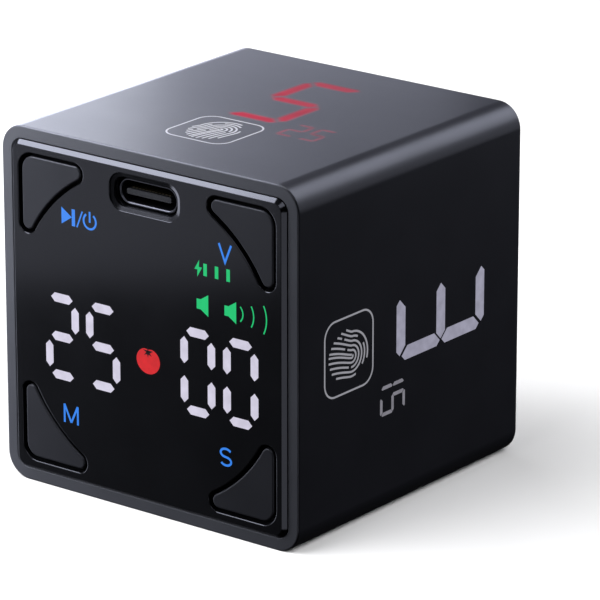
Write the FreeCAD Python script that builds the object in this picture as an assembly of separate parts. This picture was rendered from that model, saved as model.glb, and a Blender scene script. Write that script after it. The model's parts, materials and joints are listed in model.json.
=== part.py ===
"""Cube kitchen timer with a face of seven-segment digits, four corner keys and a number on each side.

Millimetres, +Z up. The origin is the middle of the underside. -Y is the front face, +X is on its right.
Depths along Y are counted from the middle of the cube.
"""
import FreeCAD
import Part

import math
import os

# ---- the cube ----
SIDE = 45.0                    # edge of the cube
HALF = SIDE / 2
CZ = HALF                      # height of the cube's middle
SLEEVE_HALF_DEPTH = 22.0       # the sleeve stops short of the raised end plates
SLEEVE_RADIUS = 3.2
SLEEVE_WALL = 1.6
SLEEVE_EDGE = 0.25             # rounding of the sleeve's two rims
SLEEVE_LIP = 0.1               # chamfer inside the rims
BORE_HALF = HALF - SLEEVE_WALL
BORE_RADIUS = 1.6
GLOW_THIN = 0.8                # wall left in front of the side numbers
GLOW_LENGTH, GLOW_WIDTH = 30.0, 22.0

# ---- front and back plates ----
PLATE_GAP = 0.08
PLATE_HALF = BORE_HALF - PLATE_GAP
PLATE_RADIUS = BORE_RADIUS - PLATE_GAP
PLATE_THICK = 2.0
PLATE_CHAMFER = 0.48
PLATE_EDGE = 0.12              # rounding between the face and its chamfer
FRONT_FACE = -HALF
FRONT_BACK = FRONT_FACE + PLATE_THICK
COVER_FACE = HALF
COVER_BACK = COVER_FACE - PLATE_THICK

# ---- corner keys, in the outline between a rounded square and the display circle ----
KEY_EDGE = 19.55               # from the middle of the face to the opening's straight sides
KEY_CORNER = 2.2
KEY_TIP = 1.35
KEY_CIRCLE = 19.8              # the circle that cuts the inner side
KEY_MOUTH = 0.15               # rounding round each opening
KEY_GAP = 0.45
KEY_RECESS = 0.12
KEY_ROUND = 0.25
KEY_FLANGE = 0.4
KEY_FLANGE_THICK = 0.7
KEY_FLANGE_GAP = 0.1
KEY_TRAVEL = 0.5
KEY_POST_RADIUS = 1.2
KEY_NAMES = {"play_key": (-1, 1), "volume_key": (1, 1), "minutes_key": (-1, -1), "seconds_key": (1, -1)}

# ---- stack behind the front panel ----
ADHESIVE_THICK = 0.15
STACK_HALF = 20.6
STACK_RADIUS = 1.3
POCKET_CLEAR = 0.2
FRAME_FRONT = FRONT_BACK + ADHESIVE_THICK
BOARD_FRONT = -16.0
BOARD_THICK = 1.0
BOARD_BACK = BOARD_FRONT + BOARD_THICK
BOARD_HALF = 20.2
WINDOW_CLEAR = 0.15

# ---- tact switches under the keys ----
SWITCH_AT = 16.4
SWITCH_SIDE = 4.5
SWITCH_HEIGHT = 1.9
SWITCH_FLOOR_GAP = 0.1
PLUNGER_RADIUS = 1.0
PLUNGER_BORE = PLUNGER_RADIUS + 0.06
PLUNGER_OUT = 0.7
PLUNGER_IN = 0.6
POST_GAP = 0.05

# ---- seven-segment characters ----
SEGMENT_LENGTH, SEGMENT_THICK = 3.35, 1.15
DIGIT_HALF_WIDTH, DIGIT_HALF_HEIGHT = 2.03, 4.88
DIGIT_Z = 19.8
DISPLAY_X = 0.65
PAIR_OFFSET = 10.5
DIGIT_PITCH = 6.45
DIGIT_WINDOW = (-17.9, 18.2, 14.0, 26.2)
SOUND_WINDOW = (6.6, 18.2, 26.2, 30.4)
CHARGE_WINDOW = (6.6, 13.6, 30.4, 34.6)
SOUND_Z, SOUND_SIGNS = 28.4, [(8.3, 1.0, 1.5), (12.4, 1.0, 1.5), (16.2, 1.5, 1.6)]
BATTERY_BARS_X, BATTERY_BARS_Z = 8.3, 32.4
FILM_GAP, FILM_REACH = 0.02, 0.2
PIPE_FRONT = FRAME_FRONT + 0.25
PIPE_DEPTH = 1.2
PIPE_FIT = 0.04
TOMATO_X, TOMATO_Z, TOMATO_RADIUS = DISPLAY_X - 0.35, DIGIT_Z - 0.2, 1.6
LED_HALF, LED_HIGH = 0.4, 0.5

# ---- USB-C socket ----
USB_Z = 39.85
USB_WIDTH, USB_HEIGHT, USB_SHELL = 8.94, 3.26, 0.3
USB_CLEAR = 0.1
USB_SHELL_DEPTH = 0.8          # from the face to the front of the shell
USB_SHELL_BEVEL = 0.1
USB_MOUTH = (0.86, 0.70)       # how far the mouth is wider and higher than the shell, each side, at the face
USB_THROAT = (0.37, 0.21)      # and where its slope ends
USB_STEP = 0.14                # height of the edge round the mouth
USB_THROAT_DEPTH = 0.3
USB_SOFT = 0.8                 # corner radius of the mouth, as a part of its half height
USB_LIP = 0.1                  # rounding round the mouth
USB_TONGUE_WIDTH, USB_TONGUE_THICK, USB_TONGUE_ROUND = 6.69, 0.7, 0.2
USB_TONGUE_SETBACK = 0.9
USB_BASE_THICK = 1.2
USB_CONTACTS, USB_CONTACT_PITCH, USB_CONTACT_WIDTH, USB_CONTACT_THICK = 12, 0.5, 0.27, 0.08
USB_CONTACT_SETBACK = 0.5

# ---- chassis, battery and boards ----
CHASSIS_HALF = 15.4
CHASSIS_WALL = 1.2
CHASSIS_FRONT, CHASSIS_BACK = -14.95, 12.6
CHASSIS_PLATE = 1.6
CHASSIS_EDGE = CHASSIS_HALF - CHASSIS_WALL
POST_AT, POST_RADIUS = 16.9, 2.4
POST_BACK = COVER_BACK - 0.05
PILOT_RADIUS, SCREW_RADIUS, COVER_HOLE_RADIUS = 1.03, 1.0, 1.13
SCREW_SINK_RADIUS, SCREW_HEAD_RADIUS, SCREW_HEAD_THICK = 2.1, 1.9, 0.9
SCREW_HEAD_ROUND = 0.3
SCREW_CROSS = (0.35, 1.1, 0.5)  # width, half length and depth of the recess
SCREW_SINK = 1.1
SCREW_TIP = 11.5
STAKE_AT, STAKE_RADIUS, STAKE_HOLE = 12.0, 0.8, 0.9
LEDGE_HALF, LEDGE_FRONT = 12.9, -1.5
MAIN_FRONT, MAIN_THICK, MAIN_HALF = 1.5, 1.2, 14.0
MAIN_BACK = MAIN_FRONT + MAIN_THICK
BOARD_CHIPS = {                # middle across and up, half width, height
    "microcontroller": (-5.5, 3.0, 3.5, 0.9),
    "tilt_sensor": (5.0, 5.0, 1.5, 1.0),
    "charge_chip": (4.5, -3.0, 2.0, 1.1),
}
MAIN_SCREW_AT = 13.3
MAIN_SCREW_RADIUS, MAIN_PILOT_RADIUS, MAIN_HOLE_RADIUS = 0.5, 0.55, 0.6
MAIN_SCREW_DEPTH, MAIN_HEAD_RADIUS, MAIN_HEAD_THICK = 2.3, 0.85, 0.7
BATTERY = (24.0, 7.0, 22.0)
BATTERY_FRONT, BATTERY_ROUND = -8.6, 1.5
PAD_THICK, PAD_HALF = 0.5, 9.0
RIBBON_Z = CZ - 12.45
RIBBON_WIDTH, RIBBON_THICK, RIBBON_CLEAR = 8.0, 0.3, 0.5
LEAD_RADIUS = 0.4
BATTERY_LEAD_X, BATTERY_LEAD_DROP = 2.0, 0.8
SPEAKER_LEAD_X, SPEAKER_LEAD_Z = 1.5, CZ - 8.5

# ---- side displays, drawn on the right wall and turned to the other three ----
SIDE_BOARD_OUT, SIDE_BOARD_THICK, SIDE_HALF = 17.5, 1.0, 14.2
SIDE_FRONT, SIDE_BACK = -14.5, 17.0
REFLECTOR_OUT = 20.5
ELECTRODE_OUT, ELECTRODE_THICK, ELECTRODE_RADIUS = 20.85, 0.2, 3.6
TOUCH_Y = -10.5
SIDE_DIGIT_Y = 5.8
SIDE_SCALE = 1.63
SMALL_NUMBER = (-0.6, -8.6, 6.4, 5.0)
SIDES = {"right": 0, "top": 90, "left": 180, "bottom": 270}
HEADER_GAP, HEADER_REACH, HEADER_WIDTH = 0.05, 2.0, 8.0

# ---- speaker ----
GRILLE_PITCH, GRILLE_HOLE, GRILLE_RINGS = 2.3, 0.6, 3
SPEAKER_RADIUS, SPEAKER_RIM, SPEAKER_FLOOR = 11.5, 1.0, 0.8
SPEAKER_BACK = COVER_BACK - 0.55
SPEAKER_DEPTH = 3.6
CONE_APEX_RADIUS, CONE_RIM_RADIUS, CONE_DEPTH, CONE_THIN = 4.6, 9.3, 2.1, 0.3
CONE_SEAT = 1.3
MAGNET_RADIUS, MAGNET_DEPTH = 6.0, 2.4
GASKET_WIDTH = 1.6


def point(x, y, z):
    return FreeCAD.Vector(x, y, z)


def box(x0, x1, y0, y1, z0, z1):
    return Part.makeBox(x1 - x0, y1 - y0, z1 - z0, point(x0, y0, z0))


def rod(radius, y0, y1, x=0.0, z=CZ):
    """A round bar along Y."""
    return Part.makeCylinder(radius, y1 - y0, point(x, y0, z), point(0, 1, 0))


def rounded_outline(half_x, half_z, radius, y, x=0.0, z=CZ):
    """A rounded rectangle standing in a plane of constant y, as one closed wire."""
    edges = []
    corners = [(1, 1, 0), (-1, 1, 90), (-1, -1, 180), (1, -1, 270)]
    last = None
    first = None
    for side_x, side_z, start in corners:
        centre = point(x + side_x * (half_x - radius), y, z + side_z * (half_z - radius))
        arc_points = []
        for angle in (start, start + 45, start + 90):
            turn = math.radians(angle)
            arc_points.append(centre + point(radius * math.cos(turn), 0, radius * math.sin(turn)))
        if last is not None and last.distanceToPoint(arc_points[0]) > 1e-6:
            edges.append(Part.makeLine(last, arc_points[0]))
        edges.append(Part.Arc(*arc_points).toShape())
        first = first or arc_points[0]
        last = arc_points[2]
    if last.distanceToPoint(first) > 1e-6:
        edges.append(Part.makeLine(last, first))
    return Part.Wire(edges)


def rounded_bar(half_x, half_z, radius, y0, y1, x=0.0, z=CZ):
    outline = rounded_outline(half_x, half_z, radius, y0, x, z)
    return Part.Face(outline).extrude(point(0, y1 - y0, 0))


def join(shapes):
    return shapes[0].fuse(shapes[1:]).removeSplitter() if len(shapes) > 1 else shapes[0]


def group(shapes):
    return Part.makeCompound(shapes)


def edges_on(shape, y, reach):
    """The edges that lie in the plane y and stay within reach of the middle of the face."""
    found = []
    for edge in shape.Edges:
        bounds = edge.BoundBox
        flat = abs(bounds.YMin - y) < 1e-4 and abs(bounds.YMax - y) < 1e-4
        spread = max(abs(bounds.XMin), abs(bounds.XMax), abs(bounds.ZMin - CZ), abs(bounds.ZMax - CZ))
        if flat and spread < reach:
            found.append(edge)
    return found


def side_of(shape, name):
    """A piece drawn on the right wall, turned about the cube's middle to the named wall."""
    turned = shape.copy()
    turned.rotate(point(0, 0, CZ), point(0, 1, 0), -SIDES[name])
    return turned


# ---- housing ----

def end_plate(face, inner):
    """A square plate whose outer face stands proud of the sleeve and is chamfered all round."""
    plate = rounded_bar(PLATE_HALF, PLATE_HALF, PLATE_RADIUS, min(face, inner), max(face, inner))
    plate = plate.makeChamfer(PLATE_CHAMFER, edges_on(plate, face, HALF))
    return plate.makeFillet(PLATE_EDGE, edges_on(plate, face, HALF))


def outer_sleeve():
    depth = SLEEVE_HALF_DEPTH
    tube = rounded_bar(HALF, HALF, SLEEVE_RADIUS, -depth, depth)
    rims = edges_on(tube, -depth, SIDE) + edges_on(tube, depth, SIDE)
    tube = tube.makeFillet(SLEEVE_EDGE, rims)
    tube = tube.cut(rounded_bar(BORE_HALF, BORE_HALF, BORE_RADIUS, -depth, depth))
    lips = edges_on(tube, -depth, BORE_HALF + SLEEVE_LIP) + edges_on(tube, depth, BORE_HALF + SLEEVE_LIP)
    tube = tube.makeChamfer(SLEEVE_LIP, lips)
    thin = box(BORE_HALF - 1, HALF - GLOW_THIN, SIDE_FRONT, SIDE_FRONT + GLOW_LENGTH,
               CZ - GLOW_WIDTH / 2, CZ + GLOW_WIDTH / 2)
    return tube.cut([side_of(thin, name) for name in SIDES])


def key_outline(grow, y, corner):
    """One key's outline, grown by grow, in the corner of the face given by two signs."""
    side_x, side_z = corner
    edge, round_corner = KEY_EDGE + grow, KEY_CORNER + grow
    tip, circle = KEY_TIP + grow, KEY_CIRCLE - grow
    far = KEY_EDGE - KEY_TIP
    near = math.sqrt((KEY_CIRCLE + KEY_TIP) ** 2 - far ** 2)
    lean = math.atan2(near, far)
    middle = edge - round_corner

    def at(across, up):
        return point(side_x * across, y, CZ + side_z * up)

    def swapped(across, up):
        return at(up, across)

    def around(place, centre, radius, angle):
        return place(centre[0] + radius * math.cos(angle), centre[1] + radius * math.sin(angle))

    tip_centre = (far, near)
    inward = lean - math.pi
    diagonal = math.pi / 4
    lower = Part.Arc(at(edge, near), around(at, tip_centre, tip, inward / 2),
                     around(at, tip_centre, tip, inward))
    upper = Part.Arc(swapped(edge, near), around(swapped, tip_centre, tip, inward / 2),
                     around(swapped, tip_centre, tip, inward))
    inner = Part.Arc(around(at, (0, 0), circle, lean), around(at, (0, 0), circle, diagonal),
                     around(swapped, (0, 0), circle, lean))
    outer = Part.Arc(at(edge, middle), around(at, (middle, middle), round_corner, diagonal), at(middle, edge))
    lines = [Part.makeLine(at(edge, near), at(edge, middle)),
             Part.makeLine(at(middle, edge), at(near, edge))]
    edges = [arc.toShape() for arc in (lower, upper, inner, outer)] + lines
    return Part.Wire(Part.__sortEdges__(edges))


def key_bar(grow, y0, y1, corner):
    return Part.Face(key_outline(grow, y0, corner)).extrude(point(0, y1 - y0, 0))


def socket_bar(grow, y0, y1):
    """The USB-C shell's outline, grown by grow, as a bar."""
    return rounded_bar(USB_WIDTH / 2 + grow, USB_HEIGHT / 2 + grow, USB_HEIGHT / 2 + grow, y0, y1, 0, USB_Z)


def mouth_outline(grow, y):
    half_x, half_z = USB_WIDTH / 2 + grow[0], USB_HEIGHT / 2 + grow[1]
    return rounded_outline(half_x, half_z, half_z * USB_SOFT, y, 0, USB_Z)


def socket_mouth():
    """The opening for the socket: a low edge, a slope, a steep throat, and a hole for the shell."""
    clear = (USB_CLEAR, USB_CLEAR)
    edge = Part.Face(mouth_outline(USB_MOUTH, FRONT_FACE)).extrude(point(0, USB_STEP, 0))
    step = mouth_outline(USB_MOUTH, FRONT_FACE + USB_STEP)
    throat = mouth_outline(USB_THROAT, FRONT_FACE + USB_THROAT_DEPTH)
    neck = mouth_outline(clear, FRONT_FACE + USB_SHELL_DEPTH)
    hole = Part.Face(neck).extrude(point(0, PLATE_THICK, 0))
    return [edge, Part.makeLoft([step, throat], True, True), Part.makeLoft([throat, neck], True, True), hole]


def front_panel():
    panel = end_plate(FRONT_FACE, FRONT_BACK)
    panel = panel.cut([key_bar(0, FRONT_FACE - 1, FRONT_BACK + 1, corner) for corner in KEY_NAMES.values()])
    panel = panel.makeFillet(KEY_MOUTH, edges_on(panel, FRONT_FACE, KEY_EDGE + 0.1))
    panel = panel.cut(socket_mouth())
    reach = USB_WIDTH / 2 + USB_MOUTH[0] + 0.1
    lip = [edge for edge in edges_on(panel, FRONT_FACE, PLATE_HALF) if edge.BoundBox.ZMin > USB_Z - reach / 2
           and max(abs(edge.BoundBox.XMin), abs(edge.BoundBox.XMax)) < reach]
    return panel.makeFillet(USB_LIP, lip)


def grille_places():
    """A hexagonal field of holes, ring by ring."""
    places = []
    for row in range(-GRILLE_RINGS, GRILLE_RINGS + 1):
        count = 2 * GRILLE_RINGS + 1 - abs(row)
        for step in range(count):
            across = (step - (count - 1) / 2) * GRILLE_PITCH
            places.append((across, row * GRILLE_PITCH * math.sqrt(3) / 2))
    return places


def corner_places(reach):
    return [(side_x * reach, side_z * reach) for side_x in (-1, 1) for side_z in (-1, 1)]


def back_cover():
    cover = end_plate(COVER_FACE, COVER_BACK)
    cuts = [rod(GRILLE_HOLE, COVER_BACK - 1, COVER_FACE + 1, x, CZ + z) for x, z in grille_places()]
    for x, z in corner_places(POST_AT):
        cuts.append(rod(COVER_HOLE_RADIUS, COVER_BACK - 1, COVER_FACE + 1, x, CZ + z))
        cuts.append(rod(SCREW_SINK_RADIUS, COVER_FACE - SCREW_SINK, COVER_FACE + 1, x, CZ + z))
    return cover.cut(cuts)


def cover_screws():
    """Four long screws with a cross recess in each head."""
    screws = []
    seat = COVER_FACE - SCREW_SINK
    crown = seat + SCREW_HEAD_THICK
    slot, arm, deep = SCREW_CROSS
    for x, z in corner_places(POST_AT):
        shank = rod(SCREW_RADIUS, SCREW_TIP, seat + 0.1, x, CZ + z)
        head = rod(SCREW_HEAD_RADIUS, seat, crown, x, CZ + z)
        crown_edges = [edge for edge in head.Edges if abs(edge.BoundBox.YMin - crown) < 1e-4]
        head = head.makeFillet(SCREW_HEAD_ROUND, crown_edges)
        flat = box(x - arm, x + arm, crown - deep, crown + 1, CZ + z - slot / 2, CZ + z + slot / 2)
        upright = box(x - slot / 2, x + slot / 2, crown - deep, crown + 1, CZ + z - arm, CZ + z + arm)
        screws.append(join([shank, head]).cut([flat, upright]))
    return group(screws)


# ---- keys and switches ----

def key_cap(corner):
    """A cap that fills its opening, a flange that keeps it in, and a post that presses the switch."""
    side_x, side_z = corner
    top = FRONT_FACE + KEY_RECESS
    flange = FRONT_BACK + KEY_FLANGE_GAP
    cap = key_bar(-KEY_GAP, top, flange + 0.1, corner)
    cap = cap.makeFillet(KEY_ROUND, edges_on(cap, top, HALF))
    rim = key_bar(KEY_FLANGE, flange, flange + KEY_FLANGE_THICK, corner)
    post_end = BOARD_FRONT - SWITCH_HEIGHT - PLUNGER_OUT - POST_GAP
    post = rod(KEY_POST_RADIUS, flange, post_end, side_x * SWITCH_AT, CZ + side_z * SWITCH_AT)
    return join([cap, rim, post])


def switch_body(corner):
    side_x, side_z = corner
    x, z = side_x * SWITCH_AT, CZ + side_z * SWITCH_AT
    half = SWITCH_SIDE / 2
    front = BOARD_FRONT - SWITCH_HEIGHT
    body = box(x - half, x + half, front, BOARD_FRONT, z - half, z + half)
    floor = front + PLUNGER_IN + KEY_TRAVEL + SWITCH_FLOOR_GAP
    return body.cut(rod(PLUNGER_BORE, front - 1, floor, x, z))


def switch_plunger(corner):
    side_x, side_z = corner
    front = BOARD_FRONT - SWITCH_HEIGHT
    x, z = side_x * SWITCH_AT, CZ + side_z * SWITCH_AT
    return rod(PLUNGER_RADIUS, front - PLUNGER_OUT, front + PLUNGER_IN, x, z)


# ---- display stack ----

def segment(x, z, upright, y0, y1, grow=0.0, scale=1.0):
    """One hexagonal segment of a character."""
    length, thick = SEGMENT_LENGTH / 2 * scale + grow, SEGMENT_THICK / 2 * scale + grow
    outline = [(-length, 0), (thick - length, thick), (length - thick, thick)]
    outline += [(-across, -up) for across, up in outline]
    corners = [(up, across) if upright else (across, up) for across, up in outline]
    wire = Part.makePolygon([point(x + across, y0, z + up) for across, up in corners + corners[:1]])
    return Part.Face(wire).extrude(point(0, y1 - y0, 0))


def segment_places():
    """Middle of each segment from the character's middle, and whether it stands upright."""
    places = [(0, step * DIGIT_HALF_HEIGHT, False) for step in (-1, 0, 1)]
    for side in (-1, 1):
        places += [(side * DIGIT_HALF_WIDTH, step * DIGIT_HALF_HEIGHT / 2, True) for step in (-1, 1)]
    return places


def digit_centres():
    return [DISPLAY_X + pair * PAIR_OFFSET + step * DIGIT_PITCH / 2 for pair in (-1, 1) for step in (-1, 1)]


def front_segments(y0, y1, grow):
    bars = []
    for centre in digit_centres():
        for x, z, upright in segment_places():
            bars.append(segment(centre + x, DIGIT_Z + z, upright, y0, y1, grow))
    return bars


def tomato_bar(y0, y1, grow):
    return rod(TOMATO_RADIUS + grow, y0, y1, TOMATO_X, TOMATO_Z)


def icon_places():
    """Middle, half width and half height of each small symbol between the upper keys and the digits."""
    bars = [(BATTERY_BARS_X + step * 2.0, BATTERY_BARS_Z, 0.55, 0.9) for step in range(3)]
    return bars + [(x, SOUND_Z, half_x, half_z) for x, half_x, half_z in SOUND_SIGNS]


def icon_bars(y0, y1, grow):
    bars = []
    for x, z, half_x, half_z in icon_places():
        wide, high = half_x + grow, half_z + grow
        bars.append(box(x - wide, x + wide, y0, y1, z - high, z + high))
    return bars


def window_bars(y0, y1, grow):
    bars = []
    for x0, x1, z0, z1 in (DIGIT_WINDOW, SOUND_WINDOW, CHARGE_WINDOW):
        bars.append(box(x0 - grow, x1 + grow, y0, y1, z0 - grow, z1 + grow))
    return join(bars)


def stack_plate(y0, y1, pocket):
    """A layer behind the panel, open at the keys, the display and the socket."""
    plate = rounded_bar(STACK_HALF, STACK_HALF, STACK_RADIUS, y0, y1)
    cuts = [key_bar(pocket, y0 - 1, y1 + 1, corner) for corner in KEY_NAMES.values()]
    cuts += [window_bars(y0 - 1, y1 + 1, WINDOW_CLEAR), socket_bar(USB_CLEAR, y0 - 1, y1 + 1)]
    return plate.cut(cuts)


def panel_adhesive():
    return stack_plate(FRONT_BACK, FRAME_FRONT, KEY_FLANGE + POCKET_CLEAR)


def key_frame():
    return stack_plate(FRAME_FRONT, BOARD_FRONT, KEY_FLANGE + POCKET_CLEAR)


def display_film():
    return window_bars(FRONT_BACK + FILM_GAP, FRAME_FRONT + FILM_REACH, 0)


def display_reflector():
    block = window_bars(PIPE_FRONT, BOARD_FRONT, 0)
    cuts = []
    for bars in (front_segments, icon_bars):
        cuts += bars(PIPE_FRONT - 1, BOARD_FRONT + 1, PIPE_FIT)
    return block.cut(cuts + [tomato_bar(PIPE_FRONT - 1, BOARD_FRONT + 1, PIPE_FIT)])


def segment_light_pipes():
    return group(front_segments(PIPE_FRONT, PIPE_FRONT + PIPE_DEPTH, 0))


def tomato_light_pipe():
    return tomato_bar(PIPE_FRONT, PIPE_FRONT + PIPE_DEPTH, 0)


def icon_light_pipes():
    return group(icon_bars(PIPE_FRONT, PIPE_FRONT + PIPE_DEPTH, 0))


def led_chip(x, z):
    return box(x - LED_HALF, x + LED_HALF, BOARD_FRONT - LED_HIGH, BOARD_FRONT, z - LED_HALF, z + LED_HALF)


def display_leds():
    """One chip under each segment, the tomato and each symbol."""
    chips = []
    for centre in digit_centres():
        chips += [led_chip(centre + x, DIGIT_Z + z) for x, z, _ in segment_places()]
    chips.append(led_chip(TOMATO_X, TOMATO_Z))
    chips += [led_chip(x, z) for x, z, _, _ in icon_places()]
    return group(chips)


def front_board():
    board = rounded_bar(BOARD_HALF, BOARD_HALF, STACK_RADIUS, BOARD_FRONT, BOARD_BACK)
    holes = [rod(STAKE_HOLE, BOARD_FRONT - 1, BOARD_BACK + 1, x, CZ + z) for x, z in corner_places(STAKE_AT)]
    return board.cut(holes)


# ---- socket ----

def usb_shell():
    """A drawn steel tube, bevelled inside and out at its mouth."""
    mouth = FRONT_FACE + USB_SHELL_DEPTH
    shell = socket_bar(0, mouth, BOARD_FRONT).cut(socket_bar(-USB_SHELL, mouth - 1, BOARD_FRONT + 1))
    return shell.makeChamfer(USB_SHELL_BEVEL, edges_on(shell, mouth, SIDE))


def usb_tongue():
    """The tongue stands on a base that closes the shell from behind."""
    base = socket_bar(-USB_SHELL, BOARD_FRONT - USB_BASE_THICK, BOARD_FRONT)
    half, thick = USB_TONGUE_WIDTH / 2, USB_TONGUE_THICK / 2
    tip = FRONT_FACE + USB_TONGUE_SETBACK
    tongue = rounded_bar(half, thick, USB_TONGUE_ROUND, tip, BOARD_FRONT - 1, 0, USB_Z)
    return join([base, tongue])


def usb_contacts():
    """Flat contacts on both faces of the tongue."""
    contacts = []
    y0, y1 = FRONT_FACE + USB_TONGUE_SETBACK + USB_CONTACT_SETBACK, BOARD_FRONT - USB_BASE_THICK - 0.1
    for step in range(USB_CONTACTS):
        x = (step - (USB_CONTACTS - 1) / 2) * USB_CONTACT_PITCH
        x0, x1 = x - USB_CONTACT_WIDTH / 2, x + USB_CONTACT_WIDTH / 2
        for z0 in (USB_Z + USB_TONGUE_THICK / 2, USB_Z - USB_TONGUE_THICK / 2 - USB_CONTACT_THICK):
            contacts.append(box(x0, x1, y0, y1, z0, z0 + USB_CONTACT_THICK))
    return group(contacts)


# ---- chassis and power ----

def ring(outer, inner, y0, y1):
    hole = box(-inner, inner, y0 - 1, y1 + 1, CZ - inner, CZ + inner)
    return box(-outer, outer, y0, y1, CZ - outer, CZ + outer).cut(hole)


def inner_chassis():
    """A square tube round the battery, with a screw post at each corner and stakes for the front board."""
    inner = CHASSIS_EDGE
    plate_back = CHASSIS_FRONT + CHASSIS_PLATE
    pieces = [ring(CHASSIS_HALF, inner, CHASSIS_FRONT, CHASSIS_BACK)]
    pieces.append(box(-inner, inner, CHASSIS_FRONT, plate_back, CZ - inner, CZ + inner))
    pieces.append(ring(inner, LEDGE_HALF, LEDGE_FRONT, MAIN_FRONT))
    pieces += [rod(POST_RADIUS, CHASSIS_FRONT, POST_BACK, x, CZ + z) for x, z in corner_places(POST_AT)]
    pieces += [rod(STAKE_RADIUS, BOARD_FRONT, plate_back, x, CZ + z) for x, z in corner_places(STAKE_AT)]
    body = join(pieces)
    cuts = [rod(PILOT_RADIUS, SCREW_TIP - 1, POST_BACK + 1, x, CZ + z) for x, z in corner_places(POST_AT)]
    half, slit = RIBBON_WIDTH / 2 + RIBBON_CLEAR, RIBBON_THICK / 2 + RIBBON_CLEAR
    cuts.append(box(-half, half, CHASSIS_FRONT - 1, plate_back + 1, RIBBON_Z - slit, RIBBON_Z + slit))
    pilot_end = MAIN_FRONT - MAIN_SCREW_DEPTH - 0.2
    for x, z in corner_places(MAIN_SCREW_AT):
        cuts.append(rod(MAIN_PILOT_RADIUS, pilot_end, MAIN_FRONT + 1, x, CZ + z))
    return body.cut(cuts)


def battery_cell():
    wide, deep, high = BATTERY
    pouch = box(-wide / 2, wide / 2, BATTERY_FRONT, BATTERY_FRONT + deep, CZ - high / 2, CZ + high / 2)
    upright = [edge for edge in pouch.Edges if edge.BoundBox.ZLength > high - 1]
    return pouch.makeFillet(BATTERY_ROUND, upright)


def battery_pad():
    """Foam between the pouch and the chassis plate."""
    return box(-PAD_HALF, PAD_HALF, BATTERY_FRONT - PAD_THICK, BATTERY_FRONT, CZ - PAD_HALF, CZ + PAD_HALF)


def battery_leads():
    """Two wires from the top of the pouch to the main board."""
    leads = []
    pouch_top = CZ + BATTERY[2] / 2
    y0, z = BATTERY_FRONT + BATTERY[1] - BATTERY_ROUND, pouch_top + BATTERY_LEAD_DROP
    for x in (-BATTERY_LEAD_X, BATTERY_LEAD_X):
        drop = Part.makeCylinder(LEAD_RADIUS, BATTERY_LEAD_DROP, point(x, y0 + LEAD_RADIUS, pouch_top))
        leads.append(join([rod(LEAD_RADIUS, y0, MAIN_FRONT, x, z), drop]))
    return group(leads)


def board_ribbon():
    """Flat cable from the front board to the main board."""
    half = RIBBON_WIDTH / 2
    return box(-half, half, BOARD_BACK, MAIN_FRONT, RIBBON_Z - RIBBON_THICK / 2, RIBBON_Z + RIBBON_THICK / 2)


def main_board():
    board = box(-MAIN_HALF, MAIN_HALF, MAIN_FRONT, MAIN_BACK, CZ - MAIN_HALF, CZ + MAIN_HALF)
    holes = []
    for x, z in corner_places(MAIN_SCREW_AT):
        holes.append(rod(MAIN_HOLE_RADIUS, MAIN_FRONT - 1, MAIN_BACK + 1, x, CZ + z))
    return board.cut(holes)


def main_board_screws():
    screws = []
    for x, z in corner_places(MAIN_SCREW_AT):
        shank = rod(MAIN_SCREW_RADIUS, MAIN_FRONT - MAIN_SCREW_DEPTH, MAIN_BACK + 0.1, x, CZ + z)
        head = rod(MAIN_HEAD_RADIUS, MAIN_BACK, MAIN_BACK + MAIN_HEAD_THICK, x, CZ + z)
        screws.append(join([shank, head]))
    return group(screws)


def board_chip(x, z, half, high):
    """A part soldered to the back of the main board."""
    return box(x - half, x + half, MAIN_BACK, MAIN_BACK + high, CZ + z - half, CZ + z + half)


def speaker_leads():
    end = SPEAKER_BACK - SPEAKER_DEPTH
    leads = [rod(LEAD_RADIUS, MAIN_BACK, end, side * SPEAKER_LEAD_X, SPEAKER_LEAD_Z) for side in (-1, 1)]
    return group(leads)


def speaker_frame():
    """A round basket, open towards the grille, with a seat for the magnet."""
    front = SPEAKER_BACK - SPEAKER_DEPTH
    cup = rod(SPEAKER_RADIUS, front, SPEAKER_BACK)
    hollow = Part.makeCone(MAGNET_RADIUS + 1, SPEAKER_RADIUS - SPEAKER_RIM, SPEAKER_DEPTH - SPEAKER_FLOOR,
                           point(0, front + SPEAKER_FLOOR, CZ), point(0, 1, 0))
    return cup.cut(hollow)


def speaker_cone():
    """A thin frustum with a closed dome plate in the middle."""
    front = SPEAKER_BACK - SPEAKER_DEPTH + CONE_SEAT
    axis = point(0, 1, 0)
    outer = Part.makeCone(CONE_APEX_RADIUS, CONE_RIM_RADIUS, CONE_DEPTH, point(0, front, CZ), axis)
    inner = outer.copy()
    inner.translate(axis * CONE_THIN)
    return outer.cut(inner)


def speaker_magnet():
    front = SPEAKER_BACK - SPEAKER_DEPTH
    return rod(MAGNET_RADIUS, front - MAGNET_DEPTH, front)


def speaker_gasket():
    hole = rod(SPEAKER_RADIUS - GASKET_WIDTH, SPEAKER_BACK - 1, COVER_BACK + 1)
    return rod(SPEAKER_RADIUS, SPEAKER_BACK, COVER_BACK).cut(hole)


# ---- side displays ----

def side_slab(x0, x1):
    return box(x0, x1, SIDE_FRONT, SIDE_BACK, CZ - SIDE_HALF, CZ + SIDE_HALF)


def side_board():
    return side_slab(SIDE_BOARD_OUT - SIDE_BOARD_THICK, SIDE_BOARD_OUT)


def side_well(y, z, half_y, half_z):
    return box(SIDE_BOARD_OUT - 1, REFLECTOR_OUT + 1, y - half_y, y + half_y, z - half_z, z + half_z)


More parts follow.
